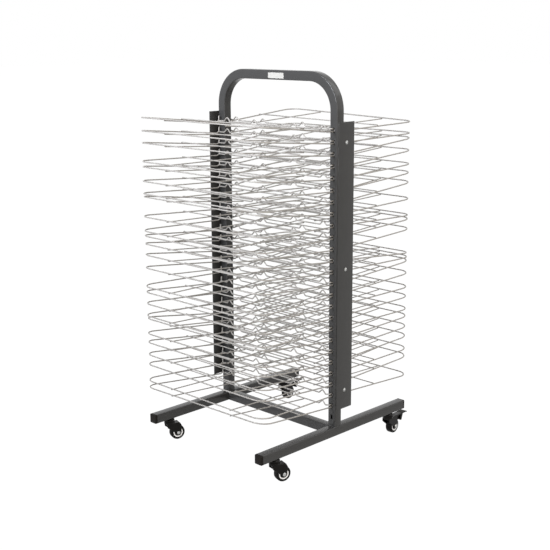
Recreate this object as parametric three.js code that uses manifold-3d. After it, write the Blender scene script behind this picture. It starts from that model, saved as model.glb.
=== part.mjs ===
// Mobile double-sided art drying rack with wire shelves, in millimetres, +Z up.
// X runs from post to post, Y runs along the feet, and the origin is on the floor at the middle of the whole.
import * as THREE from 'three';
import { mergeVertices } from 'three/addons/utils/BufferGeometryUtils.js';
import Module from 'manifold-3d';

const wasm = await Module();
wasm.setup();

// Frame
const rackHeight = 1108.5;
const postSpacing = 450;
const footLength = 611;
const castorHeight = 70;
const tubeSize = 27.5;
const tubeWall = 1.5;
const tubeCorner = 3;
const handleRadius = 92;
const bendSteps = 8;
const cornerSteps = 1;
const meetingGap = 0.3;

// End caps
const capFlange = 6;
const capPlugLength = 10;
const capPlugClearance = 0.4;

// Side plates that keep the pin ends of the shelves on their hooks
const plateWidth = 66;
const plateThickness = 2;
const plateReturn = 1.5;
const plateBottom = 149;
const plateLength = 825;
const leftPlateRise = 8.5;
const leftPlateSetback = 5.5;

// Shelf stack
const levels = 25;
const hingedLevels = 19;
const levelPitch = 33;
const lowestPivot = 164;
const slotWidth = 7;
const slotHeight = 13.5;
const slotAbovePivot = 3;
const slotDepth = 3;

// One wire shelf, measured from its hinge line on the post's face
const wireDiameter = 3.3;
const railDiameter = 2.9;
const gridWireDiameter = 2.7;
const shelfReach = 304.5;
const shelfHalfWidth = 248;
const shelfShift = -1.5;
const shelfCorner = 37;
const shelfCornerSteps = 3;
const hookDrop = 8;
const hookTip = 1.8;
const pinEndInset = 1;
const pinRise = 11.5;
const railStandoff = 8.5;
const railDrop = 3;
const bumpHeight = 10;
const bumpWidth = 23;
const innerBumpSpacing = 160;
const outerBumpSpacing = 388;
const bumpShift = 4;
const crossWireSpacing = 248;
const middleWireReach = 146;
const middleWireDrop = 0.25;
const weldOverlap = 0.8;
const steepest = 0.9;
const bankStripSpacing = 300;
const bankStripDepth = 7;

// How far each shelf rises from level at rest, as a share of the play between neighbours, top first
const restTilt = 5;
const wireStack = 8;
const frontLift = [
  0.25, 0.08, 0.04, -0.76, -0.04, -0.36, -0.49, 0.49, -0.49, -0.85, -0.11, 0.28, 0.3,
  0.08, -0.83, -0.19, -0.25, -0.38, 0.59, 0.08, 0.32, 0.13, 0.23, -0.45, 0,
];
const rearLift = [
  -0.72, -0.72, 0.06, -0.06, -0.36, -0.04, 0.13, -0.53, -1.21, -0.3, -0.19, -1.85,
  -1, -0.08, -0.3, -0.72, -0.57, -0.81, -0.38, -0.36, -0.25, -0.55, -0.17, -1.3,
];

// How far the outer corner at the hook end stands up on the shelves that are bent, by level
const frontBend = new Map([[levels - 1, 7.5]]);
const rearBend = new Map([[0, 14]]);

// Castors
const wheelDiameter = 45;
const wheelWidth = 20;
const wheelHubDiameter = 32;
const wheelHubRecess = 2.5;
const wheelShoulder = 3;
const wheelSides = 16;
const castorTrail = 24;
const frontCastorInset = 56.5;
const rearCastorInset = 57.5;
const frontSwivel = 18;
const rearSwivel = -4.5;
const axleDiameter = 6;
const axleSides = 8;
const axleClearance = 0.4;
const forkLeg = 2.5;
const forkLegEnd = 9;
const forkClearance = 0.8;
const forkWeb = 5;
const forkWebAboveWheel = 4;
const headDiameter = 32;
const headHeight = 15;
const headChamfer = 3;
const headSides = 12;
const stemDiameter = 18;

// Brake pedals on the rear castors
const pedalLength = 60;
const pedalThickness = 4;
const pedalClearance = 1.2;
const pedalLip = 5;
const pedalTongueStart = 26;
const pedalTongueLength = 12;
const pedalTongueDrop = 19;

// Values that follow from the dimensions above
const footTop = castorHeight + tubeSize;
const postX = postSpacing / 2;
const halfTube = tubeSize / 2;
const levelIndices = Array.from({ length: levels }, (_, level) => level);
const levelLabel = (level) => String(level + 1).padStart(2, '0');
const pivotHeight = (level) => lowestPivot + levelPitch * (levels - 1 - level);
const play = Math.asin((levelPitch - wireStack) / shelfReach);
const shelfTilt = (lift) => THREE.MathUtils.degToRad(restTilt) + lift * play;

const frameFinish = { color: 0x4a4c4e, roughness: 0.55, metalness: 0.3 };
const wireFinish = { color: 0xc4c2be, roughness: 0.4, metalness: 0.7 };
const blackPlastic = { color: 0x1c1b1a, roughness: 0.5, metalness: 0 };
const tyreFinish = { color: 0x141313, roughness: 0.7, metalness: 0 };

// A path through given points, one section ring at each point, turned to the mean direction there
class BentPath extends THREE.Curve {
  constructor(points) {
    super();
    this.points = points;
  }

  getPoint(t, target = new THREE.Vector3()) {
    const place = t * (this.points.length - 1);
    const start = Math.min(Math.floor(place), this.points.length - 2);
    return target.lerpVectors(this.points[start], this.points[start + 1], place - start);
  }

  getPointAt(u, target) {
    return this.getPoint(u, target);
  }

  getTangentAt(u, target = new THREE.Vector3()) {
    const last = this.points.length - 1;
    const index = Math.round(u * last);
    const here = this.points[index];
    const before = this.points[Math.max(index - 1, 0)];
    const after = this.points[Math.min(index + 1, last)];
    const incoming = here.clone().sub(before).normalize();
    const outgoing = after.clone().sub(here).normalize();
    return target.addVectors(incoming, outgoing).normalize();
  }
}

// A bent path whose sections keep their faces upright, and square to Y where the path itself is upright
class WirePath extends BentPath {
  computeFrenetFrames(segments) {
    const steps = Array.from({ length: segments + 1 }, (_, index) => index / segments);
    const tangents = steps.map((step) => this.getTangentAt(step));
    const normals = tangents.map((tangent) => {
      const upright = Math.abs(tangent.z) > steepest;
      const reference = upright ? point(0, -1, 0) : point(0, 0, 1);
      return reference.addScaledVector(tangent, -reference.dot(tangent)).normalize();
    });
    const binormals = tangents.map((tangent, index) => tangent.clone().cross(normals[index]));
    return { tangents, normals, binormals };
  }
}

function point(x, y, z) {
  return new THREE.Vector3(x, y, z);
}

function toSolid(geometry) {
  const bare = geometry.clone();
  bare.deleteAttribute('normal');
  bare.deleteAttribute('uv');
  const merged = mergeVertices(bare);
  return new wasm.Manifold(new wasm.Mesh({
    numProp: 3,
    vertProperties: new Float32Array(merged.attributes.position.array),
    triVerts: new Uint32Array(merged.index.array),
  }));
}

function toGeometry(solid) {
  const mesh = solid.getMesh();
  const geometry = new THREE.BufferGeometry();
  geometry.setAttribute('position', new THREE.BufferAttribute(mesh.vertProperties, mesh.numProp));
  geometry.setIndex(new THREE.BufferAttribute(mesh.triVerts, 1));
  geometry.computeVertexNormals();
  return geometry;
}

function joined(geometries) {
  const solids = geometries.map(toSolid);
  return solids.reduce((whole, piece) => whole.add(piece));
}

function roundedSquare(size, corner) {
  const half = size / 2;
  const flat = half - corner;
  const shape = new THREE.Shape();
  shape.moveTo(half, -flat);
  shape.lineTo(half, flat);
  shape.absarc(flat, flat, corner, 0, Math.PI / 2);
  shape.lineTo(-flat, half);
  shape.absarc(-flat, flat, corner, Math.PI / 2, Math.PI);
  shape.lineTo(-half, -flat);
  shape.absarc(-flat, -flat, corner, Math.PI, 1.5 * Math.PI);
  shape.lineTo(flat, -half);
  shape.absarc(flat, -flat, corner, 1.5 * Math.PI, 2 * Math.PI);
  return shape;
}

function tubeSection() {
  const section = roundedSquare(tubeSize, tubeCorner);
  const bore = tubeSize / 2 - tubeWall;
  section.holes.push(new THREE.Path([
    new THREE.Vector2(-bore, -bore),
    new THREE.Vector2(-bore, bore),
    new THREE.Vector2(bore, bore),
    new THREE.Vector2(bore, -bore),
  ]));
  return section;
}

function straightTube(length) {
  const options = { depth: length, bevelEnabled: false, curveSegments: cornerSteps };
  return new THREE.ExtrudeGeometry(tubeSection(), options).translate(0, 0, -length / 2);
}

function arcPoints(centre, radius, startAngle, endAngle, steps, place) {
  return Array.from({ length: steps + 1 }, (_, step) => {
    const angle = startAngle + (endAngle - startAngle) * step / steps;
    return place(centre.x + radius * Math.cos(angle), centre.y + radius * Math.sin(angle));
  });
}

function boxBetween(low, high) {
  const size = high.clone().sub(low);
  const middle = low.clone().add(high).multiplyScalar(0.5);
  return new THREE.BoxGeometry(size.x, size.y, size.z).translate(middle.x, middle.y, middle.z);
}

// A square bar with the cross-section area of a round wire
function squareSection(diameter) {
  const half = diameter * Math.sqrt(Math.PI) / 4;
  return new THREE.Shape([
    new THREE.Vector2(half, -half),
    new THREE.Vector2(half, half),
    new THREE.Vector2(-half, half),
    new THREE.Vector2(-half, -half),
  ]);
}

// A three-sided bar with one upright face, drawn inside a round wire
function triangleSection(diameter) {
  const radius = diameter / 2;
  const corners = [Math.PI / 6, 5 * Math.PI / 6, 1.5 * Math.PI];
  return new THREE.Shape(corners.map((angle) => (
    new THREE.Vector2(radius * Math.cos(angle), radius * Math.sin(angle))
  )));
}

function wire(points, section) {
  const options = { steps: points.length - 1, extrudePath: new WirePath(points) };
  return new THREE.ExtrudeGeometry(section, options);
}

const rack = new THREE.Group();

function addMesh(name, geometry, finish, parent = rack) {
  const mesh = new THREE.Mesh(geometry, new THREE.MeshStandardMaterial(finish));
  mesh.name = name;
  parent.add(mesh);
  return mesh;
}

// Handle and posts, one bent tube with hook slots down the right post's front and the left post's rear
function handleFrame() {
  const upright = rackHeight - halfTube - handleRadius;
  const inPlane = (x, z) => point(x, 0, z);
  const bendX = postX - handleRadius;
  const leftBend = new THREE.Vector2(-bendX, upright);
  const rightBend = new THREE.Vector2(bendX, upright);
  const path = [
    inPlane(-postX, footTop + meetingGap),
    ...arcPoints(leftBend, handleRadius, Math.PI, Math.PI / 2, bendSteps, inPlane),
    ...arcPoints(rightBend, handleRadius, Math.PI / 2, 0, bendSteps, inPlane),
    inPlane(postX, footTop + meetingGap),
  ];
  const options = {
    steps: path.length - 1,
    extrudePath: new BentPath(path),
    curveSegments: cornerSteps,
  };
  let tube = toSolid(new THREE.ExtrudeGeometry(tubeSection(), options));
  const slotLevels = [...levelIndices, levels];
  for (const [x, side] of [[postX, -1], [-postX, 1]]) {
    const faces = [side * (halfTube - slotDepth), side * (halfTube + slotDepth)];
    for (const level of slotLevels) {
      const top = pivotHeight(level) + slotAbovePivot;
      const low = point(x - slotWidth / 2, Math.min(...faces), top - slotHeight);
      const high = point(x + slotWidth / 2, Math.max(...faces), top);
      tube = tube.subtract(toSolid(boxBetween(low, high)));
    }
  }
  addMesh('handle_frame', toGeometry(tube), frameFinish);
}

// Feet, crossbar and end caps
function base() {
  const footHeight = castorHeight + halfTube;
  for (const [name, x] of [['left', -postX], ['right', postX]]) {
    const foot = addMesh(`foot_${name}`, straightTube(footLength), frameFinish);
    foot.rotation.x = Math.PI / 2;
    foot.position.set(x, 0, footHeight);
    for (const [end, turn] of [['front', 0], ['rear', Math.PI]]) {
      const seat = new THREE.Group();
      seat.position.set(x, 0, footHeight);
      seat.rotation.z = turn;
      rack.add(seat);
      addMesh(`end_cap_${end}_${name}`, endCap(), blackPlastic, seat);
    }
  }
  const barLength = postSpacing - tubeSize - 2 * meetingGap;
  const bar = addMesh('crossbar', straightTube(barLength), frameFinish);
  bar.rotation.y = Math.PI / 2;
  bar.position.z = footHeight;
}

// A cap's flange covers the front end of a foot and its plug goes into the bore
function endCap() {
  const face = -footLength / 2 - meetingGap;
  const plugSize = tubeSize - 2 * (tubeWall + capPlugClearance);
  const options = { depth: capFlange, bevelEnabled: false, curveSegments: cornerSteps };
  const flange = new THREE.ExtrudeGeometry(roundedSquare(tubeSize, tubeCorner), options);
  flange.rotateX(Math.PI / 2).translate(0, face, 0);
  const plugLow = point(-plugSize / 2, face - weldOverlap, -plugSize / 2);
  const plugHigh = point(plugSize / 2, face + capPlugLength, plugSize / 2);
  return toGeometry(joined([flange, boxBetween(plugLow, plugHigh)]));
}

// Side plates: the right one reaches to the rear, and the left one is the same plate turned half round
// and fixed a little higher and further back
function sidePlates() {
  const inner = postX + halfTube + meetingGap;
  const front = tubeCorner - halfTube;
  const rear = front + plateWidth;
  const outline = new THREE.Shape([
    new THREE.Vector2(inner, front),
    new THREE.Vector2(inner + plateThickness, front),
    new THREE.Vector2(inner + plateThickness, rear),
    new THREE.Vector2(inner - plateReturn, rear),
    new THREE.Vector2(inner - plateReturn, rear - plateThickness),
    new THREE.Vector2(inner, rear - plateThickness),
  ]);
  const options = { depth: plateLength, bevelEnabled: false };
  const geometry = new THREE.ExtrudeGeometry(outline, options).translate(0, 0, plateBottom);
  addMesh('side_plate_right', geometry, frameFinish);
  const left = addMesh('side_plate_left', geometry, frameFinish);
  left.rotation.z = Math.PI;
  left.position.set(0, leftPlateSetback, leftPlateRise);
}

// One shelf about its hinge line, reaching along -Y, with its hook end at +X and its pin end at -X
function shelfSolid() {
  const pinX = postX + pinEndInset;
  const cornerY = shelfCorner - shelfReach;
  const flat = (x, y) => point(x, y, -hookDrop);
  const leftCorner = new THREE.Vector2(shelfCorner - shelfHalfWidth, cornerY);
  const rightCorner = new THREE.Vector2(shelfHalfWidth - shelfCorner, cornerY);
  const frameWire = wire([
    point(-pinX, -railStandoff, pinRise),
    flat(-pinX, -railStandoff),
    ...arcPoints(leftCorner, shelfCorner, Math.PI, 1.5 * Math.PI, shelfCornerSteps, flat),
    ...arcPoints(rightCorner, shelfCorner, -Math.PI / 2, 0, shelfCornerSteps, flat),
    flat(postX, hookTip),
    point(postX, hookTip, 0),
    point(postX, -railStandoff - wireDiameter / 2, 0),
  ], squareSection(wireDiameter));

  const bumpCentres = [-outerBumpSpacing, -innerBumpSpacing, innerBumpSpacing, outerBumpSpacing];
  const onRail = (x, rise) => point(x, -railStandoff, rise - railDrop);
  const rail = wire([
    onRail(-pinX, 0),
    ...bumpCentres.flatMap((spacing) => [
      onRail(bumpShift + (spacing - bumpWidth) / 2, 0),
      onRail(bumpShift + spacing / 2, bumpHeight),
      onRail(bumpShift + (spacing + bumpWidth) / 2, 0),
    ]),
    onRail(postX, railDrop),
  ], triangleSection(railDiameter));

  const middleShare = middleWireReach / (shelfReach - shelfCorner);
  const gridSection = triangleSection(gridWireDiameter);
  const middleWire = wire([
    flat(-THREE.MathUtils.lerp(pinX, shelfHalfWidth, middleShare), -middleWireReach),
    flat(THREE.MathUtils.lerp(postX, shelfHalfWidth, middleShare), -middleWireReach),
  ].map((end) => end.setZ(end.z - middleWireDrop)), gridSection);
  const crossWires = [-crossWireSpacing / 2, crossWireSpacing / 2].map((x) => wire([
    onRail(x, 0),
    flat(x, -shelfReach),
  ], gridSection));
  return joined([frameWire, rail, middleWire, ...crossWires]);
}

// A shelf with the outer corner at its hook end bent up
function bentShelf(shelf, rise) {
  return shelf.warp((corner) => {
    const across = (corner[0] + shelfHalfWidth) / (2 * shelfHalfWidth);
    const along = Math.max(-corner[1] / shelfReach, 0);
    corner[2] += rise * across * along;
  });
}

function shelfPlace(level, tilt) {
  return new THREE.Matrix4()
    .makeTranslation(0, -halfTube, pivotHeight(level))
    .multiply(new THREE.Matrix4().makeRotationX(-tilt));
}

// The lowest shelves of a side share a node, tied by two thin strips that stand for their separate hooks
function shelfBank(shelf, lifts, bends) {
  const stripInner = -halfTube - railStandoff + gridWireDiameter;
  const stripTop = pivotHeight(hingedLevels) - railDrop + gridWireDiameter;
  const stripBottom = pivotHeight(lifts.length - 1) - railDrop - gridWireDiameter;
  const strips = [-bankStripSpacing / 2, bankStripSpacing / 2].map((x) => toSolid(boxBetween(
    point(x - gridWireDiameter / 2, stripInner - bankStripDepth, stripBottom),
    point(x + gridWireDiameter / 2, stripInner, stripTop),
  )));
  const shelves = levelIndices.slice(hingedLevels, lifts.length).map((level) => {
    const bent = toGeometry(bentShelf(shelf, bends.get(level) ?? 0));
    return toSolid(bent.applyMatrix4(shelfPlace(level, shelfTilt(lifts[level]))));
  });
  return toGeometry([...shelves, ...strips].reduce((whole, piece) => whole.add(piece)));
}

function shelves() {
  const shelf = shelfSolid();
  const sides = [['front', 0, frontLift, frontBend], ['rear', Math.PI, rearLift, rearBend]];
  for (const [side, turn, lifts, bends] of sides) {
    const stack = new THREE.Group();
    stack.rotation.z = turn;
    stack.position.x = shelfShift;
    rack.add(stack);
    for (const level of levelIndices.slice(0, hingedLevels)) {
      const geometry = toGeometry(bentShelf(shelf, bends.get(level) ?? 0));
      const mesh = addMesh(`shelf_${side}_${levelLabel(level)}`, geometry, wireFinish, stack);
      mesh.applyMatrix4(shelfPlace(level, shelfTilt(lifts[level])));
    }
    addMesh(`shelf_bank_${side}`, shelfBank(shelf, lifts, bends), wireFinish, stack);
  }
}

// A castor about its swivel axis, trailing along +Y with its axle along X
const wheelRadius = wheelDiameter / 2;
const legInner = wheelWidth / 2 + forkClearance;
const legOuter = legInner + forkLeg;
const webBottom = wheelDiameter + forkWebAboveWheel;
const webTop = webBottom + forkWeb;

function castorFork() {
  const headBottom = webTop - weldOverlap;
  const headTop = webTop + headHeight;
  const headRadius = headDiameter / 2;
  const headProfile = [
    new THREE.Vector2(0, headBottom),
    new THREE.Vector2(headRadius, headBottom),
    new THREE.Vector2(headRadius, headTop - headChamfer),
    new THREE.Vector2(headRadius - headChamfer, headTop),
    new THREE.Vector2(0, headTop),
  ];
  const head = new THREE.LatheGeometry(headProfile, headSides).rotateX(Math.PI / 2);
  const stemHeight = castorHeight - meetingGap - headTop + weldOverlap;
  const stem = new THREE.CylinderGeometry(stemDiameter / 2, stemDiameter / 2, stemHeight, headSides);
  stem.rotateX(Math.PI / 2).translate(0, 0, headTop - weldOverlap + stemHeight / 2);

  const webFront = -headRadius / 2;
  const webRear = castorTrail + axleDiameter;
  const legOutline = new THREE.Shape();
  legOutline.moveTo(webFront, webTop);
  legOutline.lineTo(webFront, webBottom - forkWeb);
  legOutline.lineTo(castorTrail - forkLegEnd, wheelRadius);
  legOutline.absarc(castorTrail, wheelRadius, forkLegEnd, Math.PI, 2 * Math.PI);
  legOutline.lineTo(webRear + forkWeb, webBottom - forkWeb);
  legOutline.lineTo(webRear, webTop);
  const legOptions = { depth: forkLeg, bevelEnabled: false, curveSegments: 3 };
  const leg = new THREE.ExtrudeGeometry(legOutline, legOptions);
  leg.rotateX(Math.PI / 2).rotateZ(Math.PI / 2);
  const legs = [legInner, -legOuter].map((x) => leg.clone().translate(x, 0, 0));
  const web = boxBetween(point(-legOuter, webFront, webBottom), point(legOuter, webRear, webTop));
  const axle = new THREE.CylinderGeometry(axleDiameter / 2, axleDiameter / 2, 2 * legOuter, axleSides);
  axle.rotateZ(Math.PI / 2).translate(0, castorTrail, wheelRadius);
  return toGeometry(joined([web, ...legs, axle, head, stem]));
}

function castorWheel() {
  const bore = axleDiameter / 2 + axleClearance;
  const hub = wheelHubDiameter / 2;
  const half = wheelWidth / 2;
  const shoulder = wheelRadius - wheelShoulder;
  const halfProfile = [
    new THREE.Vector2(bore, half),
    new THREE.Vector2(hub - wheelHubRecess, half - wheelHubRecess),
    new THREE.Vector2(hub, half),
    new THREE.Vector2(shoulder, half),
    new THREE.Vector2(wheelRadius, half - wheelShoulder),
  ];
  const otherHalf = halfProfile.map((corner) => new THREE.Vector2(corner.x, -corner.y));
  const profile = [...otherHalf, ...halfProfile.reverse()];
  const wheel = new THREE.LatheGeometry([...profile, profile[0].clone()], wheelSides);
  return wheel.rotateZ(Math.PI / 2).translate(0, castorTrail, wheelRadius);
}

// A rocking brake pedal behind the fork's web, with a tongue that hangs behind the wheel
function brakePedal() {
  const front = castorTrail + axleDiameter + pedalClearance;
  const rear = front + pedalLength;
  const top = webTop;
  const bottom = top - pedalThickness;
  const tongueFront = front + pedalTongueStart;
  const tongueRear = tongueFront + pedalTongueLength;
  const outline = new THREE.Shape([
    new THREE.Vector2(front, bottom),
    new THREE.Vector2(tongueFront, bottom),
    new THREE.Vector2(tongueFront, bottom - pedalTongueDrop),
    new THREE.Vector2(tongueRear, bottom - pedalTongueDrop),
    new THREE.Vector2(tongueRear, bottom),
    new THREE.Vector2(rear - pedalLip, bottom),
    new THREE.Vector2(rear, bottom - pedalLip / 2),
    new THREE.Vector2(rear, top - pedalLip / 2),
    new THREE.Vector2(rear - pedalLip, top),
    new THREE.Vector2(front, top),
  ]);
  const width = 2 * (legInner - pedalClearance);
  const pedal = new THREE.ExtrudeGeometry(outline, { depth: width, bevelEnabled: false });
  return pedal.translate(0, 0, -width / 2).rotateX(Math.PI / 2).rotateZ(Math.PI / 2);
}

function castors() {
  const fork = castorFork();
  const wheel = castorWheel();
  const pedal = brakePedal();
  const frontY = frontCastorInset - footLength / 2;
  const rearY = footLength / 2 - rearCastorInset;
  for (const [end, y, swivel] of [['front', frontY, frontSwivel], ['rear', rearY, rearSwivel]]) {
    for (const [name, x] of [['left', -postX], ['right', postX]]) {
      const castor = new THREE.Group();
      castor.position.set(x, y, 0);
      castor.rotation.z = -THREE.MathUtils.degToRad(swivel);
      rack.add(castor);
      addMesh(`castor_fork_${end}_${name}`, fork, blackPlastic, castor);
      addMesh(`castor_wheel_${end}_${name}`, wheel, tyreFinish, castor);
      if (end === 'rear') addMesh(`brake_pedal_${name}`, pedal, blackPlastic, castor);
    }
  }
}

handleFrame();
base();
sidePlates();
shelves();
castors();

// The brake pedals reach further back than anything does in front, so the whole moves forward to be centred
const middle = new THREE.Box3().setFromObject(rack, true).getCenter(new THREE.Vector3());
rack.position.y = -middle.y;

export default rack;
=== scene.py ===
import math
from collections import namedtuple

import bmesh
import bpy
from mathutils import Matrix, Quaternion, Vector


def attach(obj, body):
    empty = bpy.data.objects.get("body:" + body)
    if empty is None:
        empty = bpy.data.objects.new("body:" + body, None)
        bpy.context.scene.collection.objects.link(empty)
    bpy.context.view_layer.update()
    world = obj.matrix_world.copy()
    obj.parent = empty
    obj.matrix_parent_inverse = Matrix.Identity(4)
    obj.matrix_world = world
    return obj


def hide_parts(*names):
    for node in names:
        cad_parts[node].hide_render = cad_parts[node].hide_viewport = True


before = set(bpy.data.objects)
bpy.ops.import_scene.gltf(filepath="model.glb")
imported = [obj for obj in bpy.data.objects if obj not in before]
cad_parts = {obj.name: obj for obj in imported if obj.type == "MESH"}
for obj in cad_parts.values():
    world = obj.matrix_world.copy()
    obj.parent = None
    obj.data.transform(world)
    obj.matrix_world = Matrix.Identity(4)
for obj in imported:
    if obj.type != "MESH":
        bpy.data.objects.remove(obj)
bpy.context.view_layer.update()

MM = 0.001

# Frame of square tube
RACK_HEIGHT = 1108.5 * MM
POST_X = 225 * MM
FOOT_LENGTH = 611 * MM
CASTOR_HEIGHT = 70 * MM
TUBE = 27.5 * MM
TUBE_WALL = 1.5 * MM
TUBE_CORNER = 3 * MM
CORNER_STEPS = 4
EDGE_STEPS = 2
HANDLE_RADIUS = 92 * MM
BEND_STEPS = 20
MEETING_GAP = 0.3 * MM
WELD_RADIUS = 1.6 * MM
WELD_RIPPLE = 3.2 * MM
WELD_STEP = 0.8 * MM
WELD_SWELL = 0.12

# How far the posts stand ahead of the middle of the whole rack
POSTS_AHEAD = Vector((0, -9.916 * MM, 0))

# End caps and label
CAP_FLANGE = 6 * MM
CAP_EDGE = 1.2 * MM
CAP_EDGE_STEP = 0.4 * MM
CAP_CROWN = 0.25 * MM
CAP_CROWN_INSET = TUBE / 4
LABEL_SIZE = (61.5 * MM, 16 * MM)
LABEL_CORNER = 2 * MM
LABEL_THICKNESS = 0.25 * MM
LABEL_X = 4.5 * MM
LABEL_DROP = 1.6 * MM

# Side plates and their screws
PLATE_WIDTH = 66 * MM
PLATE_THICKNESS = 2 * MM
PLATE_RETURN = 1.5 * MM
PLATE_BOTTOM = 149 * MM
PLATE_LENGTH = 825 * MM
LEFT_PLATE_SHIFT = (0, 5.5 * MM, 8.5 * MM)
PLATE_FOLD = 2 * MM
PLATE_EDGE_BEVEL = 0.35 * MM
SCREW_INSET = 56 * MM
SCREW_RADIUS = 4.0 * MM
SCREW_RISE = 2.6 * MM
SCREW_SOCKET = 1.7 * MM
WASHER_RADIUS = 5.4 * MM
WASHER_RISE = 0.8 * MM

# Shelf stack
LEVELS = 25
HINGED_LEVELS = 19
LEVEL_PITCH = 33 * MM
LOWEST_PIVOT = 164 * MM
SLOT_WIDTH = 7 * MM
SLOT_HEIGHT = 13.5 * MM
SLOT_ABOVE_PIVOT = 3 * MM
REST_TILT = math.radians(5)
WIRE_STACK = 8 * MM

# How far each shelf, from the top down, lies above the rest tilt, as a share of the play between levels
FRONT_LIFT = (
    0.25, 0.08, 0.04, -0.76, -0.04, -0.36, -0.49, 0.49, -0.49, -0.85, -0.11, 0.28, 0.3,
    0.08, -0.83, -0.19, -0.25, -0.38, 0.59, 0.08, 0.32, 0.13, 0.23, -0.45, 0,
)
REAR_LIFT = (
    -0.72, -0.72, 0.06, -0.06, -0.36, -0.04, 0.13, -0.53, -1.21, -0.3, -0.19, -1.85,
    -1, -0.08, -0.3, -0.72, -0.57, -0.81, -0.38, -0.36, -0.25, -0.55, -0.17, -1.3,
)

# How far the outer corner of a bent shelf stands up, by its level from the top
FRONT_BEND = {LEVELS - 1: 7.5 * MM}
REAR_BEND = {0: 14 * MM}

# One wire shelf about its hinge line
WIRE_RADIUS = 1.9 * MM
GRID_RADIUS = 1.65 * MM
WIRE_SIDES = 12
SHELF_REACH = 304.5 * MM
SHELF_SIDE = 250.8 * MM
SHELF_SHIFT = -1.5 * MM
SHELF_CORNER = 37 * MM
HOOK_DROP = 7.5 * MM
HOOK_TIP = 5.5 * MM
HOOK_BEND = 2.1 * MM
PIN_X = 227 * MM
PIN_TOP = 11.5 * MM
PIN_BEND = 2.6 * MM
RAIL_STANDOFF = 8.5 * MM
RAIL_DROP = 3 * MM
JOGGLE = 9 * MM
JOGGLE_BEND = 6 * MM
BUMP_HEIGHT = 12 * MM
BUMP_WIDTH = 25 * MM
BUMP_BEND = 4.5 * MM
BUMP_CENTRES = (-190 * MM, -76 * MM, 84 * MM, 198 * MM)
CROSS_WIRE_X = 124 * MM
MIDDLE_WIRE_REACH = 146 * MM
WELD_SINK = 0.45 * MM
NUGGET = 1.9 * MM
NUGGET_FLAT = 0.75
NUGGET_DETAIL = 1
BEND_FILLET_STEPS = 6

# Castors
FRONT_CASTOR_Y = -249 * MM
REAR_CASTOR_Y = 248 * MM
FRONT_SWIVEL = math.radians(-18)
REAR_SWIVEL = math.radians(4.5)
CASTOR_TRAIL = 24 * MM
WHEEL_RADIUS = 22.5 * MM
WHEEL_WIDTH = 20 * MM
TYRE_EDGE = 3.5 * MM
RING_OUTER = 15.2 * MM
RING_INNER = 11.4 * MM
HUB_RADIUS = 6.5 * MM
HUB_DISH = 3 * MM
AXLE_RADIUS = 3 * MM
NUT_RADIUS = 5.2 * MM
NUT_RISE = 2.4 * MM
NUT_CHAMFER = 1 * MM
LATHE_SIDES = 40
NUT_SIDES = 20
FORK_CLEARANCE = 0.8 * MM
FORK_LEG = 2.5 * MM
FORK_WEB = 5 * MM
FORK_WEB_ABOVE_WHEEL = 4 * MM
FORK_SHOULDER = 6.5 * MM
FORK_LEG_END = 9 * MM
LEG_END_STEPS = 8
FORK_FRONT = -11 * MM
FORK_BEVEL = 1.1 * MM
HEAD_RADIUS = 16 * MM
HEAD_GAP = 1 * MM
HEAD_GROOVE = 1.2 * MM
HEAD_CHAMFER = 3 * MM
STEM_RADIUS = 9 * MM
PEDAL_GAP = 1.2 * MM
PEDAL_LENGTH = 60 * MM
PEDAL_HALF_WIDTH = 9.6 * MM
PEDAL_THICKNESS = 4 * MM
PEDAL_LIP = 5 * MM
PEDAL_EDGE = 0.3 * MM
TONGUE_START = 26 * MM
TONGUE_LENGTH = 12 * MM
TONGUE_TIP = 4.8 * MM
TONGUE_DROP = 19 * MM
PEDAL_RIDGES = 4
PEDAL_RIDGE = 3 * MM
PEDAL_RIDGE_RISE = 0.8 * MM

# Sizes that follow from those above
FOOT_TOP = CASTOR_HEIGHT + TUBE
FOOT_CENTRE = CASTOR_HEIGHT + TUBE / 2
PLAY = math.asin((LEVEL_PITCH - WIRE_STACK) / SHELF_REACH)
FORK_LEG_INNER = WHEEL_WIDTH / 2 + FORK_CLEARANCE
FORK_LEG_OUTER = FORK_LEG_INNER + FORK_LEG
FORK_WEB_BOTTOM = 2 * WHEEL_RADIUS + FORK_WEB_ABOVE_WHEEL
FORK_WEB_TOP = FORK_WEB_BOTTOM + FORK_WEB
FORK_REAR = CASTOR_TRAIL + 2 * AXLE_RADIUS
HEAD_TOP = CASTOR_HEIGHT - HEAD_GAP
PEDAL_FRONT = FORK_REAR + PEDAL_GAP
TONGUE_FRONT = PEDAL_FRONT + TONGUE_START
TONGUE_REAR = TONGUE_FRONT + TONGUE_LENGTH

# Angles and places
QUARTER = math.pi / 2
HALF_TURN = math.pi
FULL_TURN = 2 * math.pi
SMOOTH_ANGLE = math.radians(35)
AT_ORIGIN = Matrix.Identity(4)


def pivot_height(level):
    return LOWEST_PIVOT + LEVEL_PITCH * (LEVELS - 1 - level)


def turned(angle, axis):
    return Matrix.Rotation(angle, 4, axis)


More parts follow.
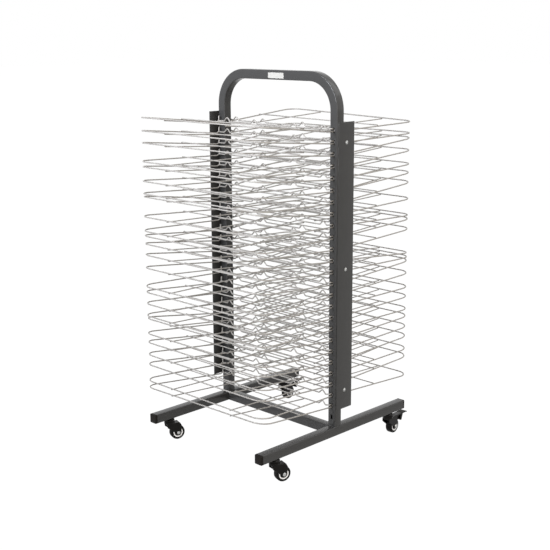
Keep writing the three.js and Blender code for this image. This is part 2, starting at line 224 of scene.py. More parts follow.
# Finishes: mean colour and how far it varies, range of roughness, and the grain that shows as relief
Finish = namedtuple("Finish", "name colour spread mottle roughness metallic specular grain relief depth")
POWDER_COAT = Finish(
    name="powder_coat", colour=(0.0452, 0.0446, 0.0436), spread=0.03, mottle=40, roughness=(0.18, 0.22),
    metallic=0, specular=0.25, grain=1400, relief=0.04, depth=0.1 * MM,
)
PLATED_WIRE = Finish(
    name="plated_wire", colour=(0.338, 0.322, 0.301), spread=0.03, mottle=30, roughness=(0.48, 0.54),
    metallic=0.3, specular=0.5, grain=900, relief=0.01, depth=0.05 * MM,
)
BLACK_PLASTIC = Finish(
    name="black_plastic", colour=(0.009, 0.0073, 0.006), spread=0.28, mottle=70, roughness=(0.38, 0.55),
    metallic=0, specular=0.1, grain=1100, relief=0.2, depth=0.1 * MM,
)
CASTOR_PLASTIC = Finish(
    name="castor_plastic", colour=(0.0055, 0.0045, 0.0035), spread=0.2, mottle=70, roughness=(0.15, 0.25),
    metallic=0, specular=0.12, grain=1100, relief=0.12, depth=0.1 * MM,
)
TYRE_RUBBER = Finish(
    name="tyre_rubber", colour=(0.006, 0.0055, 0.005), spread=0.3, mottle=60, roughness=(0.5, 0.75),
    metallic=0, specular=0.1, grain=700, relief=0.3, depth=0.15 * MM,
)
HUB_PLASTIC = Finish(
    name="hub_plastic", colour=(0.86, 0.85, 0.83), spread=0.05, mottle=90, roughness=(0.26, 0.36),
    metallic=0.5, specular=0.5, grain=900, relief=0.1, depth=0.1 * MM,
)
BRIGHT_STEEL = Finish(
    name="bright_steel", colour=(0.4, 0.4, 0.39), spread=0.12, mottle=260, roughness=(0.2, 0.34),
    metallic=1, specular=0.5, grain=1500, relief=0.08, depth=0.05 * MM,
)
LABEL_PAPER = Finish(
    name="label_paper", colour=(0.44, 0.43, 0.4), spread=0.03, mottle=120, roughness=(0.38, 0.52),
    metallic=0, specular=0.5, grain=1300, relief=0.06, depth=0.05 * MM,
)
NOISE_DETAIL = 3
NOISE_MIDDLE = (0.35, 0.65)
ROUGHNESS_SCALE = 90


def make_material(finish):
    material = bpy.data.materials.new(finish.name)
    material.use_nodes = True
    nodes, links = material.node_tree.nodes, material.node_tree.links
    surface = nodes["Principled BSDF"]
    surface.inputs["Metallic"].default_value = finish.metallic
    surface.inputs["Specular IOR Level"].default_value = finish.specular
    place = nodes.new("ShaderNodeTexCoord").outputs["Object"]

    def noise(scale):
        node = nodes.new("ShaderNodeTexNoise")
        node.inputs["Scale"].default_value = scale
        node.inputs["Detail"].default_value = NOISE_DETAIL
        links.new(place, node.inputs["Vector"])
        return node.outputs["Fac"]

    def spread_over(source, given, wanted):
        node = nodes.new("ShaderNodeMapRange")
        for socket, value in zip(("From Min", "From Max", "To Min", "To Max"), (*given, *wanted)):
            node.inputs[socket].default_value = value
        links.new(source, node.inputs["Value"])
        return node.outputs["Result"]

    ramp = nodes.new("ShaderNodeValToRGB")
    shares = (1 - finish.spread, 1 + finish.spread)
    for element, position, share in zip(ramp.color_ramp.elements, NOISE_MIDDLE, shares):
        element.position = position
        element.color = (*(share * part for part in finish.colour), 1)
    links.new(noise(finish.mottle), ramp.inputs["Fac"])
    links.new(ramp.outputs["Color"], surface.inputs["Base Color"])
    roughness = spread_over(noise(ROUGHNESS_SCALE), NOISE_MIDDLE, finish.roughness)
    links.new(roughness, surface.inputs["Roughness"])
    bump = nodes.new("ShaderNodeBump")
    bump.inputs["Strength"].default_value = finish.relief
    bump.inputs["Distance"].default_value = finish.depth
    links.new(noise(finish.grain), bump.inputs["Height"])
    links.new(bump.outputs["Normal"], surface.inputs["Normal"])
    return material


COAT = make_material(POWDER_COAT)
WIRE = make_material(PLATED_WIRE)
BLACK = make_material(BLACK_PLASTIC)
CASTOR = make_material(CASTOR_PLASTIC)
RUBBER = make_material(TYRE_RUBBER)
HUB = make_material(HUB_PLASTIC)
STEEL = make_material(BRIGHT_STEEL)
PAPER = make_material(LABEL_PAPER)


# Mesh helpers
def mesh_from(name, bm):
    bmesh.ops.recalc_face_normals(bm, faces=bm.faces)
    mesh = bpy.data.meshes.new(name)
    bm.to_mesh(mesh)
    bm.free()
    mesh.shade_smooth()
    mesh.set_sharp_from_angle(angle=SMOOTH_ANGLE)
    return mesh


def add_piece(name, mesh, material, body, place=AT_ORIGIN, nodes=()):
    if not mesh.materials:
        mesh.materials.append(material)
    piece = bpy.data.objects.new(name, mesh)
    bpy.context.scene.collection.objects.link(piece)
    piece.matrix_world = Matrix.Translation(POSTS_AHEAD) @ place
    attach(piece, body)
    if nodes:
        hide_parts(*nodes)
    return piece


def soften(piece, width):
    bevel = piece.modifiers.new("edge", "BEVEL")
    bevel.width = width
    bevel.segments = EDGE_STEPS
    bevel.limit_method = "ANGLE"
    bevel.angle_limit = SMOOTH_ANGLE


def add_ring(bm, points):
    return [bm.verts.new(point) for point in points]


def join_rings(bm, first, second):
    count = len(first)
    for index in range(count):
        after = (index + 1) % count
        bm.faces.new((first[index], first[after], second[after], second[index]))


def circle(radius, sides):
    angles = [FULL_TURN * side / sides for side in range(sides)]
    return [Vector((radius * math.cos(angle), radius * math.sin(angle))) for angle in angles]


def arc(centre, radius, start, end, steps):
    angles = [start + (end - start) * step / steps for step in range(steps + 1)]
    return [Vector(centre) + radius * Vector((math.cos(angle), math.sin(angle))) for angle in angles]


def rounded_square(size, corner):
    flat = size / 2 - corner
    outline = []
    for x, y, start in ((1, 1, 0), (-1, 1, QUARTER), (-1, -1, HALF_TURN), (1, -1, HALF_TURN + QUARTER)):
        outline += arc((x * flat, y * flat), corner, start, start + QUARTER, CORNER_STEPS)
    return outline


def rounded_path(corners, radii):
    """Points along straight runs, with an arc of the given radius at each inner corner."""
    path = [Vector(corners[0])]
    for index, radius in enumerate(radii, start=1):
        corner = Vector(corners[index])
        back = (Vector(corners[index - 1]) - corner).normalized()
        ahead = (Vector(corners[index + 1]) - corner).normalized()
        half = back.angle(ahead) / 2
        centre = corner + (back + ahead).normalized() * radius / math.sin(half)
        start = corner + back * radius / math.tan(half) - centre
        end = corner + ahead * radius / math.tan(half) - centre
        turn = start.rotation_difference(end)
        for step in range(BEND_FILLET_STEPS + 1):
            path.append(centre + Quaternion().slerp(turn, step / BEND_FILLET_STEPS) @ start)
    path.append(Vector(corners[-1]))
    return path


def sweep(bm, path, section, closed=False):
    """Sweeps an outline along a path. Each ring turns as little as it can from the one before."""
    count = len(path)
    rings = []
    side = None
    for index, here in enumerate(path):
        before = path[(index - 1) % count] if closed or index else here
        after = path[(index + 1) % count] if closed or index < count - 1 else here
        ahead = (after - before).normalized()
        if side is None:
            side = ahead.orthogonal()
        side = (side - ahead * side.dot(ahead)).normalized()
        across = ahead.cross(side)
        rings.append(add_ring(bm, [here + side * point.x + across * point.y for point in section]))
    for first, second in zip(rings, rings[1:]):
        join_rings(bm, first, second)
    if closed:
        join_rings(bm, rings[-1], rings[0])
    else:
        bm.faces.new(rings[0])
        bm.faces.new(rings[-1])
    return rings


def lathe(bm, profile, sides=LATHE_SIDES):
    """Turns (radius, height) points about Z. A profile ends on the axis or closes on itself."""
    rings = []
    for radius, height in profile:
        if radius == 0:
            rings.append(add_ring(bm, [(0, 0, height)]))
        else:
            rings.append(add_ring(bm, [(*point, height) for point in circle(radius, sides)]))
    for first, second in zip(rings, rings[1:]):
        if len(first) == 1 or len(second) == 1:
            tip, ring = (first[0], second) if len(first) == 1 else (second[0], first)
            for index in range(sides):
                bm.faces.new((tip, ring[index], ring[(index + 1) % sides]))
        else:
            join_rings(bm, first, second)
    if len(rings[0]) > 1 and len(rings[-1]) > 1:
        join_rings(bm, rings[-1], rings[0])


def extrude_outline(bm, outline, low, high, to_space):
    lower = add_ring(bm, [to_space(x, y, low) for x, y in outline])
    upper = add_ring(bm, [to_space(x, y, high) for x, y in outline])
    join_rings(bm, lower, upper)
    bm.faces.new(lower)
    bm.faces.new(upper)


# Handle and posts: one bent tube with open slots on the right post's front and the left post's rear
FRONT, CLOSED, REAR = -1, 0, 1
Station = namedtuple("Station", "place outward slot")


def handle_frame():
    def section(size, corner):
        """The tube's outline, and where in it the near edge of each slot lies."""
        outline, slot_sides = [], []
        for point in rounded_square(size, corner):
            if outline and outline[-1].x * point.x < 0:
                edge = math.copysign(SLOT_WIDTH / 2, outline[-1].x)
                slot_sides.append(len(outline))
                outline += [Vector((edge, point.y)), Vector((-edge, point.y))]
            outline.append(point)
        return outline, slot_sides

    outer_outline, slot_sides = section(TUBE, TUBE_CORNER)
    inner_outline, _ = section(TUBE - 2 * TUBE_WALL, TUBE_CORNER - TUBE_WALL)
    upright = RACK_HEIGHT - TUBE / 2 - HANDLE_RADIUS
    stations = []

    def slot_edges():
        """Heights where a slot opens or closes, from the spare slot below the lowest shelf up."""
        for level in range(LEVELS, -1, -1):
            top = pivot_height(level) + SLOT_ABOVE_PIVOT
            yield top - SLOT_HEIGHT, True
            yield top, False

    edges = [(FOOT_TOP + MEETING_GAP, False), *slot_edges()]
    for height, opens in edges:
        slot = REAR if opens else CLOSED
        stations.append(Station(Vector((-POST_X, 0, height)), Vector((-1, 0, 0)), slot))
    for side, start in ((-1, HALF_TURN), (1, QUARTER)):
        centre = Vector((side * (POST_X - HANDLE_RADIUS), 0, upright))
        for x, z in arc((0, 0), 1, start, start - QUARTER, BEND_STEPS):
            outward = Vector((x, 0, z))
            stations.append(Station(centre + outward * HANDLE_RADIUS, outward, CLOSED))
    falling = edges[::-1]
    for index, (height, _) in enumerate(falling):
        opens = index + 1 < len(falling) and falling[index + 1][1]
        slot = FRONT if opens else CLOSED
        stations.append(Station(Vector((POST_X, 0, height)), Vector((1, 0, 0)), slot))

    bm = bmesh.new()
    across = Vector((0, 1, 0))
    shells = []
    for outline in (outer_outline, inner_outline):
        shells.append([
            add_ring(bm, [place + outward * point.x + across * point.y for point in outline])
            for place, outward, _ in stations
        ])
    outer, inner = shells
    count = len(outer_outline)
    for ring in range(len(stations) - 1):
        for index in range(count):
            after = (index + 1) % count
            corners = ((ring, index), (ring, after), (ring + 1, after), (ring + 1, index))
            if index in slot_sides and stations[ring].slot * outer_outline[index].y > 0:
                for (ring_a, side_a), (ring_b, side_b) in zip(corners, corners[1:] + corners[:1]):
                    bm.faces.new((
                        outer[ring_a][side_a], outer[ring_b][side_b],
                        inner[ring_b][side_b], inner[ring_a][side_a],
                    ))
            else:
                bm.faces.new([outer[ring_a][side_a] for ring_a, side_a in corners])
                bm.faces.new([inner[ring_a][side_a] for ring_a, side_a in reversed(corners)])
    join_rings(bm, outer[0], inner[0])
    join_rings(bm, outer[-1], inner[-1])
    add_piece("handle", mesh_from("handle", bm), COAT, "frame", nodes=["handle_frame"])


def straight_tube(name, node, length, place):
    bm = bmesh.new()
    rings = []
    for size, corner in ((TUBE, TUBE_CORNER), (TUBE - 2 * TUBE_WALL, TUBE_CORNER - TUBE_WALL)):
        outline = rounded_square(size, corner)
        ends = [add_ring(bm, [(*point, end * length / 2) for point in outline]) for end in (-1, 1)]
        join_rings(bm, *ends)
        rings.append(ends)
    for outer, inner in zip(*rings):
        join_rings(bm, outer, inner)
    add_piece(name, mesh_from(name, bm), COAT, "frame", place, [node])


def end_cap_mesh():
    """A moulded cap that looks along -Y from the origin."""
    bm = bmesh.new()
    layers = [
        (0, 0),
        (0, CAP_FLANGE - CAP_EDGE),
        (CAP_EDGE_STEP, CAP_FLANGE - CAP_EDGE_STEP),
        (CAP_EDGE, CAP_FLANGE),
        (CAP_CROWN_INSET, CAP_FLANGE + CAP_CROWN),
    ]
    rings = []
    for inset, depth in layers:
        outline = rounded_square(TUBE - 2 * inset, max(TUBE_CORNER - inset, CAP_EDGE))
        rings.append(add_ring(bm, [(point.x, -depth, point.y) for point in outline]))
    for first, second in zip(rings, rings[1:]):
        join_rings(bm, first, second)
    bm.faces.new(rings[0])
    bm.faces.new(rings[-1])
    return mesh_from("end_cap", bm)


def weld_bead(name, outline, height):
    """A rippled fillet round a tube where it stands on another."""
    bm = bmesh.new()
    path = []
    for first, second in zip(outline, outline[1:] + outline[:1]):
        steps = max(1, round((second - first).length / WELD_STEP))
        path += [first.lerp(second, step / steps) for step in range(steps)]
    centres = [Vector((*point, height)) for point in path]
    rings = sweep(bm, centres, circle(WELD_RADIUS, WIRE_SIDES), closed=True)
    run = 0
    for index, (centre, ring) in enumerate(zip(centres, rings)):
        run += (centre - centres[index - 1]).length
        swell = 1 + WELD_SWELL * math.sin(FULL_TURN * run / WELD_RIPPLE)
        for vert in ring:
            vert.co = centre + (vert.co - centre) * swell
    add_piece(name, mesh_from(name, bm), COAT, "frame")


def base():
    along_y = turned(QUARTER, "X")
    along_x = turned(QUARTER, "Y")
    cap = end_cap_mesh()
    cap_seat = Matrix.Translation((0, -FOOT_LENGTH / 2 - MEETING_GAP, 0))
    for name, x in (("left", -POST_X), ("right", POST_X)):
        foot_place = Matrix.Translation((x, 0, FOOT_CENTRE))
        straight_tube(f"foot_{name}_tube", f"foot_{name}", FOOT_LENGTH, foot_place @ along_y)
        for end, turn in (("front", 0), ("rear", HALF_TURN)):
            node = f"end_cap_{end}_{name}"
            place = foot_place @ turned(turn, "Z") @ cap_seat
            add_piece(f"{node}_moulding", cap, BLACK, "frame", place, [node])
        footprint = [point + Vector((x, 0)) for point in rounded_square(TUBE, TUBE_CORNER)]
        weld_bead(f"post_weld_{name}", footprint, FOOT_TOP)
    bar_length = 2 * POST_X - TUBE - 2 * MEETING_GAP
    bar_place = Matrix.Translation((0, 0, FOOT_CENTRE)) @ along_x
    straight_tube("crossbar_tube", "crossbar", bar_length, bar_place)


def label():
    bm = bmesh.new()
    width, height = LABEL_SIZE
    outline = []
    for point in rounded_square(height, LABEL_CORNER):
        outline.append((point.x + math.copysign((width - height) / 2, point.x), point.y))
    centre = Vector((LABEL_X, -TUBE / 2, RACK_HEIGHT - TUBE / 2 - LABEL_DROP))
    extrude_outline(bm, outline, 0, LABEL_THICKNESS, lambda x, z, out: centre + Vector((x, -out, z)))
    add_piece("blank_label", mesh_from("blank_label", bm), PAPER, "frame")


def screw_mesh():
    bm = bmesh.new()
    shoulder = SCREW_RADIUS - SCREW_SOCKET
    dome = [
        (SCREW_SOCKET + shoulder * point.x, WASHER_RISE + SCREW_RISE * point.y)
        for point in arc((0, 0), 1, 0, QUARTER, CORNER_STEPS)
    ]
    lathe(bm, [
        (0, 0),
        (WASHER_RADIUS, 0),
        (WASHER_RADIUS, WASHER_RISE),
        *dome,
        (SCREW_SOCKET, WASHER_RISE + SCREW_RISE / 2),
        (0, WASHER_RISE + SCREW_RISE / 2),
    ])
    return mesh_from("dome_screw", bm)


def side_plates():
    inner = POST_X + TUBE / 2 + MEETING_GAP
    outer = inner + PLATE_THICKNESS
    front = TUBE_CORNER - TUBE / 2
    rear = front + PLATE_WIDTH
    fold = arc((outer - PLATE_FOLD, rear - PLATE_FOLD), PLATE_FOLD, 0, QUARTER, CORNER_STEPS)
    outline = [
        (inner, front),
        (outer, front),
        *fold,
        (inner - PLATE_RETURN, rear),
        (inner - PLATE_RETURN, rear - PLATE_THICKNESS),
        (inner, rear - PLATE_THICKNESS),
    ]
    bm = bmesh.new()
    top = PLATE_BOTTOM + PLATE_LENGTH
    extrude_outline(bm, outline, PLATE_BOTTOM, top, lambda x, y, z: Vector((x, y, z)))
    plate = mesh_from("side_plate", bm)
    screw = screw_mesh()
    middle = (front + rear) / 2
    heights = (PLATE_BOTTOM + SCREW_INSET, (PLATE_BOTTOM + top) / 2, top - SCREW_INSET)
    facing_out = turned(QUARTER, "Y")
    for name, shift, turn in (("right", (0, 0, 0), 0), ("left", LEFT_PLATE_SHIFT, HALF_TURN)):
        place = Matrix.Translation(shift) @ turned(turn, "Z")
        node = f"side_plate_{name}"
        piece = add_piece(f"{node}_sheet", plate, COAT, "frame", place, [node])
        soften(piece, PLATE_EDGE_BEVEL)
        for index, height in enumerate(heights, start=1):
            seat = place @ Matrix.Translation((outer, middle, height)) @ facing_out
            add_piece(f"plate_screw_{name}_{index}", screw, STEEL, "frame", seat)


# Wire shelves
def shelf_mesh(rise):
    """One wire from the pin round the frame, through the hook and back along the rail, and the grid.

    The outer corner at the hook end stands up by the given rise."""
    bm = bmesh.new()
    floor = -HOOK_DROP
    frame_section = circle(WIRE_RADIUS, WIRE_SIDES)
    grid_section = circle(GRID_RADIUS, WIRE_SIDES)
    pin_foot = (-PIN_X, -RAIL_STANDOFF, -RAIL_DROP)
    corners = [
        (-PIN_X, -RAIL_STANDOFF, PIN_TOP),
        pin_foot,
        (-PIN_X, -RAIL_STANDOFF - JOGGLE, floor),
        (-SHELF_SIDE, -SHELF_REACH, floor),
        (SHELF_SIDE, -SHELF_REACH, floor),
        (POST_X, HOOK_TIP, floor),
        (POST_X, HOOK_TIP, 0),
        (POST_X, -RAIL_STANDOFF, 0),
    ]
    radii = [PIN_BEND, JOGGLE_BEND, SHELF_CORNER, SHELF_CORNER, HOOK_BEND, HOOK_BEND, PIN_BEND]
    for centre in reversed(BUMP_CENTRES):
        for shift, height in ((BUMP_WIDTH / 2, 0), (0, BUMP_HEIGHT), (-BUMP_WIDTH / 2, 0)):
            corners.append((centre + shift, -RAIL_STANDOFF, height - RAIL_DROP))
            radii.append(BUMP_BEND)
    corners.append(pin_foot)
    sweep(bm, rounded_path(corners, radii), frame_section)

    touch = WIRE_RADIUS + GRID_RADIUS - WELD_SINK
    side_share = MIDDLE_WIRE_REACH / SHELF_REACH
    middle_left = -PIN_X - (SHELF_SIDE - PIN_X) * side_share
    middle_right = POST_X + (SHELF_SIDE - POST_X) * side_share
    middle = [Vector((x, -MIDDLE_WIRE_REACH, floor + touch)) for x in (middle_left, middle_right)]
    sweep(bm, middle, grid_section)
    joints = list(middle)
    for x in (-CROSS_WIRE_X, CROSS_WIRE_X):
        ends = [
            Vector((x, -RAIL_STANDOFF, -RAIL_DROP - touch)),
            Vector((x, -SHELF_REACH, floor - touch)),
        ]
        sweep(bm, ends, grid_section)
        crossing = ends[0].lerp(ends[1], side_share)
        joints += [*ends, (crossing + Vector((x, -MIDDLE_WIRE_REACH, floor + touch))) / 2]
    for joint in joints:
        nugget = Matrix.Translation(joint) @ Matrix.Diagonal((1, 1, NUGGET_FLAT, 1))
        bmesh.ops.create_icosphere(bm, subdivisions=NUGGET_DETAIL, radius=NUGGET, matrix=nugget)
    for vert in bm.verts:
        across = (vert.co.x + SHELF_SIDE) / (2 * SHELF_SIDE)
        along = max(-vert.co.y / SHELF_REACH, 0)
        vert.co.z += rise * across * along
    return mesh_from("wire_shelf", bm)


def shelves():
    meshes = {rise: shelf_mesh(rise) for rise in (0, *FRONT_BEND.values(), *REAR_BEND.values())}
    sides = (("front", 0, FRONT_LIFT, FRONT_BEND), ("rear", HALF_TURN, REAR_LIFT, REAR_BEND))
    for side, turn, lifts, bends in sides:
        for level, lift in enumerate(lifts):
            tilt = REST_TILT + lift * PLAY
            place = (
                Matrix.Translation((SHELF_SHIFT, 0, 0))
                @ turned(turn, "Z")
                @ Matrix.Translation((0, -TUBE / 2, pivot_height(level)))
                @ turned(-tilt, "X")
            )
            tag = f"{side}_{level + 1:02d}"
            if level < HINGED_LEVELS:
                body = f"shelf_{tag}"
                nodes = [body]
            else:
                body = "frame"
                nodes = [f"shelf_bank_{side}"]
            mesh = meshes[bends.get(level, 0)]
            add_piece(f"wire_shelf_{tag}", mesh, WIRE, body, place, nodes)


# Castors
def two_sided_mesh(name, upper):
    """Turns a profile of the wheel's upper half together with its mirror image below."""
    lower = [(radius, -height) for radius, height in reversed(upper)]
    bm = bmesh.new()
    lathe(bm, [*lower, *upper])
    return mesh_from(name, bm)


def tyre_mesh():
    half = WHEEL_WIDTH / 2
    edge = arc((WHEEL_RADIUS - TYRE_EDGE, half - TYRE_EDGE), TYRE_EDGE, 0, QUARTER, CORNER_STEPS)
    return two_sided_mesh("tyre", [*edge, (RING_OUTER, half)])


def ring_mesh():
    half = WHEEL_WIDTH / 2
    return two_sided_mesh("hub_ring", [
        (RING_OUTER, half - MEETING_GAP),
        (RING_OUTER - MEETING_GAP, half + MEETING_GAP),
        (RING_INNER, half - MEETING_GAP),
        (RING_INNER - MEETING_GAP, half - HUB_DISH),
    ])


def hub_mesh():
    half = WHEEL_WIDTH / 2
    return two_sided_mesh("hub", [
        (RING_INNER, half - HUB_DISH),
        (HUB_RADIUS + MEETING_GAP, half - HUB_DISH),
        (HUB_RADIUS, half - MEETING_GAP),
        (AXLE_RADIUS + MEETING_GAP, half),
    ])


def sideways(y, z, x):
    return Vector((x, y, z))


def fork_mesh():
    bm = bmesh.new()
    outline = [
        (FORK_FRONT, FORK_WEB_TOP),
        (FORK_FRONT, FORK_WEB_BOTTOM - FORK_SHOULDER),
        *arc((CASTOR_TRAIL, WHEEL_RADIUS), FORK_LEG_END, HALF_TURN, FULL_TURN, LEG_END_STEPS),
        (FORK_REAR + FORK_SHOULDER, FORK_WEB_BOTTOM - FORK_SHOULDER),
        (FORK_REAR, FORK_WEB_TOP),
    ]
    for low, high in ((-FORK_LEG_OUTER, -FORK_LEG_INNER), (FORK_LEG_INNER, FORK_LEG_OUTER)):
        extrude_outline(bm, outline, low, high, sideways)
    web = [
        (FORK_FRONT, FORK_WEB_BOTTOM),
        (FORK_REAR, FORK_WEB_BOTTOM),
        (FORK_REAR, FORK_WEB_TOP),
        (FORK_FRONT, FORK_WEB_TOP),
    ]
    extrude_outline(bm, web, -FORK_LEG_INNER, FORK_LEG_INNER, sideways)
    return mesh_from("fork", bm)


def head_mesh():
    bm = bmesh.new()
    groove_middle = (FORK_WEB_TOP + HEAD_TOP) / 2
    lathe(bm, [
        (0, FORK_WEB_TOP - MEETING_GAP),
        (HEAD_RADIUS, FORK_WEB_TOP - MEETING_GAP),
        (HEAD_RADIUS, groove_middle - HEAD_GROOVE),
        (HEAD_RADIUS - HEAD_GROOVE, groove_middle - HEAD_GROOVE / 2),
        (HEAD_RADIUS - HEAD_GROOVE, groove_middle + HEAD_GROOVE / 2),
        (HEAD_RADIUS, groove_middle + HEAD_GROOVE),
        (HEAD_RADIUS, HEAD_TOP - HEAD_CHAMFER),
        (HEAD_RADIUS - HEAD_CHAMFER, HEAD_TOP),
        (STEM_RADIUS, HEAD_TOP),
        (STEM_RADIUS, CASTOR_HEIGHT - MEETING_GAP),
        (0, CASTOR_HEIGHT - MEETING_GAP),
    ])
    return mesh_from("swivel_head", bm)


def axle_mesh():
    bm = bmesh.new()
    seat = FORK_LEG_OUTER - MEETING_GAP
    end = FORK_LEG_OUTER + NUT_RISE
    for side in (-1, 1):
        lathe(bm, [
            (0, side * seat),
            (NUT_RADIUS, side * seat),
            (NUT_RADIUS, side * (end - NUT_CHAMFER)),
            (NUT_RADIUS - NUT_CHAMFER, side * end),
            (0, side * end),
        ], sides=NUT_SIDES)
    return mesh_from("axle_caps", bm)


def pedal_mesh():
    bm = bmesh.new()
    rear = PEDAL_FRONT + PEDAL_LENGTH
    top = FORK_WEB_TOP
    bottom = top - PEDAL_THICKNESS
    upper = []
    for index in range(PEDAL_RIDGES):
        start = rear - PEDAL_LIP - PEDAL_RIDGE * (2 * index + 1)
        upper += [(start, top), (start, top + PEDAL_RIDGE_RISE)]
        upper += [(start - PEDAL_RIDGE, top + PEDAL_RIDGE_RISE), (start - PEDAL_RIDGE, top)]
    outline = [
        (PEDAL_FRONT, bottom),
        (TONGUE_FRONT, bottom),
        (TONGUE_FRONT, bottom - TONGUE_DROP),
        (TONGUE_FRONT + TONGUE_TIP, bottom - TONGUE_DROP),
        (TONGUE_REAR, bottom),
        (rear - PEDAL_LIP, bottom),
        (rear, bottom - PEDAL_LIP / 2),
        (rear, top - PEDAL_LIP / 2),
        (rear - PEDAL_LIP, top),
        *upper,
        (PEDAL_FRONT, top),
    ]
    extrude_outline(bm, outline, -PEDAL_HALF_WIDTH, PEDAL_HALF_WIDTH, sideways)
    return mesh_from("brake_pedal", bm)


def castors():
    tyre, ring, hub = tyre_mesh(), ring_mesh(), hub_mesh()
    fork, head, axle, pedal = fork_mesh(), head_mesh(), axle_mesh(), pedal_mesh()
    along_x = turned(QUARTER, "Y")
    ends = (("front", FRONT_CASTOR_Y, FRONT_SWIVEL), ("rear", REAR_CASTOR_Y, REAR_SWIVEL))
    for end, y, swivel in ends:
        for name, x in (("left", -POST_X), ("right", POST_X)):
            tag = f"{end}_{name}"
            place = Matrix.Translation((x, y, 0)) @ turned(swivel, "Z")
            wheel_place = place @ Matrix.Translation((0, CASTOR_TRAIL, WHEEL_RADIUS)) @ along_x
            fork_body = f"castor_fork_{tag}"
            wheel_body = f"castor_wheel_{tag}"
            add_piece(f"tyre_{tag}", tyre, RUBBER, wheel_body, wheel_place, [wheel_body])
            add_piece(f"hub_ring_{tag}", ring, HUB, wheel_body, wheel_place)
            add_piece(f"hub_{tag}", hub, CASTOR, wheel_body, wheel_place)
            yoke = add_piece(f"fork_{tag}", fork, CASTOR, fork_body, place, [fork_body])
            soften(yoke, FORK_BEVEL)
            add_piece(f"swivel_head_{tag}", head, CASTOR, fork_body, place)
            add_piece(f"axle_caps_{tag}", axle, STEEL, fork_body, wheel_place)
            if end == "rear":
                node = f"brake_pedal_{name}"
                lever = add_piece(f"pedal_{name}", pedal, CASTOR, node, place, [node])
                soften(lever, PEDAL_EDGE)


# Camera, floor and light: places and sizes in metres, the sensor in millimetres, energies in watts
CAMERA_PLACE = Vector((2.149, -2.186, 1.2225))
CAMERA_AZIMUTH = math.radians(44.72)
CAMERA_PITCH = math.radians(13.08)
CAMERA_ROLL = math.radians(-0.28)
FOCAL_PIXELS = 1060.75
IMAGE_PIXELS = 550
SENSOR_WIDTH = 36
WHITE = (1, 1, 1)
FLOOR_SIZE = 60
FLOOR_COLOUR = (0.32, 0.32, 0.32)
FLOOR_GLOW = 1.14
FLOOR_GLOW_SHARE = 0.88
WORLD_STRENGTH = 0.19
WORLD_SHARE = 1
RACK_MIDDLE = (0, 0, RACK_HEIGHT / 2)
RACK_TOP = (0, 0, RACK_HEIGHT)
Lamp = namedtuple("Lamp", "name place target size energy colour spread", defaults=(WHITE, HALF_TURN))
LAMPS = (
    Lamp("overhead", place=(1.2, 1.0, 3.0), target=RACK_MIDDLE, size=2.6, energy=44),
    Lamp("backdrop", place=(-3.0, 3.0, 1.4), target=RACK_MIDDLE, size=3.5, energy=9),
    Lamp(
        "front_high", place=(-0.3, -2.6, 2.0), target=RACK_TOP, size=1.6, energy=32,
        colour=(0.9, 0.93, 1), spread=math.radians(75),
    ),
    Lamp(
        "right_fill", place=(2.7, -0.6, 1.2), target=RACK_MIDDLE, size=2, energy=30,
        colour=(1, 0.9, 0.78),
    ),
    Lamp("side_wall", place=(3.2, 3.4, 1.9), target=RACK_MIDDLE, size=2.2, energy=13),
    Lamp("camera_side", place=(2.5, -2.4, 2.0), target=RACK_MIDDLE, size=0.5, energy=9),
)


def camera():
    data = bpy.data.cameras.new("camera")
    data.sensor_width = SENSOR_WIDTH
    data.lens = FOCAL_PIXELS / IMAGE_PIXELS * SENSOR_WIDTH
    viewer = bpy.data.objects.new("camera", data)
    bpy.context.scene.collection.objects.link(viewer)
    ahead = Vector((
        -math.sin(CAMERA_AZIMUTH) * math.cos(CAMERA_PITCH),
        math.cos(CAMERA_AZIMUTH) * math.cos(CAMERA_PITCH),
        -math.sin(CAMERA_PITCH),
    ))
    level = Vector((math.cos(CAMERA_AZIMUTH), math.sin(CAMERA_AZIMUTH), 0))
    above = level.cross(ahead)
    right = level * math.cos(CAMERA_ROLL) + above * math.sin(CAMERA_ROLL)
    up = above * math.cos(CAMERA_ROLL) - level * math.sin(CAMERA_ROLL)
    turn = Matrix((right, up, -ahead)).transposed().to_4x4()
    viewer.matrix_world = Matrix.Translation(POSTS_AHEAD + CAMERA_PLACE) @ turn
    bpy.context.scene.camera = viewer


def add_lamp(lamp):
    data = bpy.data.lights.new(lamp.name, "AREA")
    data.shape = "SQUARE"
    data.size = lamp.size
    data.energy = lamp.energy
    data.color = lamp.colour
    data.spread = lamp.spread
    light = bpy.data.objects.new(lamp.name, data)
    light.location = lamp.place
    toward = Vector(lamp.target) - Vector(lamp.place)
    light.rotation_euler = toward.to_track_quat("-Z", "Y").to_euler()
    light.visible_camera = False
    bpy.context.scene.collection.objects.link(light)


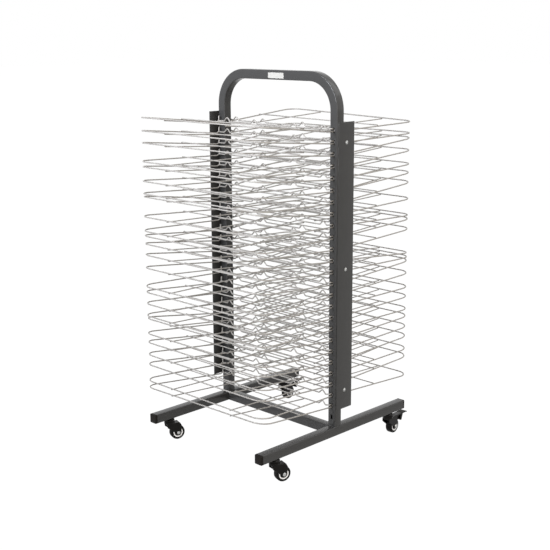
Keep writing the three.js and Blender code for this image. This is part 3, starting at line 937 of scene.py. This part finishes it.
def background_share(tree, most):
    """Shows the white background where it is seen or mirrored, and adds nothing to other light."""
    path = tree.nodes.new("ShaderNodeLightPath")
    share = path.outputs["Is Camera Ray"]
    for kind in ("Is Glossy Ray", "Is Transmission Ray"):
        either = tree.nodes.new("ShaderNodeMath")
        either.operation = "MAXIMUM"
        tree.links.new(share, either.inputs[0])
        tree.links.new(path.outputs[kind], either.inputs[1])
        share = either.outputs[0]
    scaled = tree.nodes.new("ShaderNodeMath")
    scaled.operation = "MULTIPLY"
    scaled.inputs[1].default_value = most
    tree.links.new(share, scaled.inputs[0])
    return scaled.outputs[0]


def white_floor():
    bm = bmesh.new()
    bmesh.ops.create_grid(bm, x_segments=1, y_segments=1, size=FLOOR_SIZE / 2)
    floor = bpy.data.objects.new("floor", mesh_from("floor", bm))
    bpy.context.scene.collection.objects.link(floor)
    material = bpy.data.materials.new("floor")
    material.use_nodes = True
    nodes, links = material.node_tree.nodes, material.node_tree.links
    nodes.clear()
    diffuse = nodes.new("ShaderNodeBsdfDiffuse")
    diffuse.inputs["Color"].default_value = (*FLOOR_COLOUR, 1)
    glow = nodes.new("ShaderNodeEmission")
    glow.inputs["Strength"].default_value = FLOOR_GLOW
    mix = nodes.new("ShaderNodeMixShader")
    out = nodes.new("ShaderNodeOutputMaterial")
    links.new(background_share(material.node_tree, FLOOR_GLOW_SHARE), mix.inputs["Fac"])
    links.new(diffuse.outputs["BSDF"], mix.inputs[1])
    links.new(glow.outputs["Emission"], mix.inputs[2])
    links.new(mix.outputs["Shader"], out.inputs["Surface"])
    floor.data.materials.append(material)


def white_world():
    world = bpy.data.worlds.new("studio")
    bpy.context.scene.world = world
    world.use_nodes = True
    nodes, links = world.node_tree.nodes, world.node_tree.links
    light = nodes["Background"]
    light.inputs["Color"].default_value = (*WHITE, 1)
    light.inputs["Strength"].default_value = WORLD_STRENGTH
    seen = nodes.new("ShaderNodeBackground")
    seen.inputs["Color"].default_value = (*WHITE, 1)
    mix = nodes.new("ShaderNodeMixShader")
    links.new(background_share(world.node_tree, WORLD_SHARE), mix.inputs["Fac"])
    links.new(light.outputs["Background"], mix.inputs[1])
    links.new(seen.outputs["Background"], mix.inputs[2])
    links.new(mix.outputs["Shader"], nodes["World Output"].inputs["Surface"])


def studio():
    white_floor()
    white_world()
    for lamp in LAMPS:
        add_lamp(lamp)
    bpy.context.scene.view_settings.view_transform = "Standard"


handle_frame()
base()
label()
side_plates()
shelves()
castors()
camera()
studio()
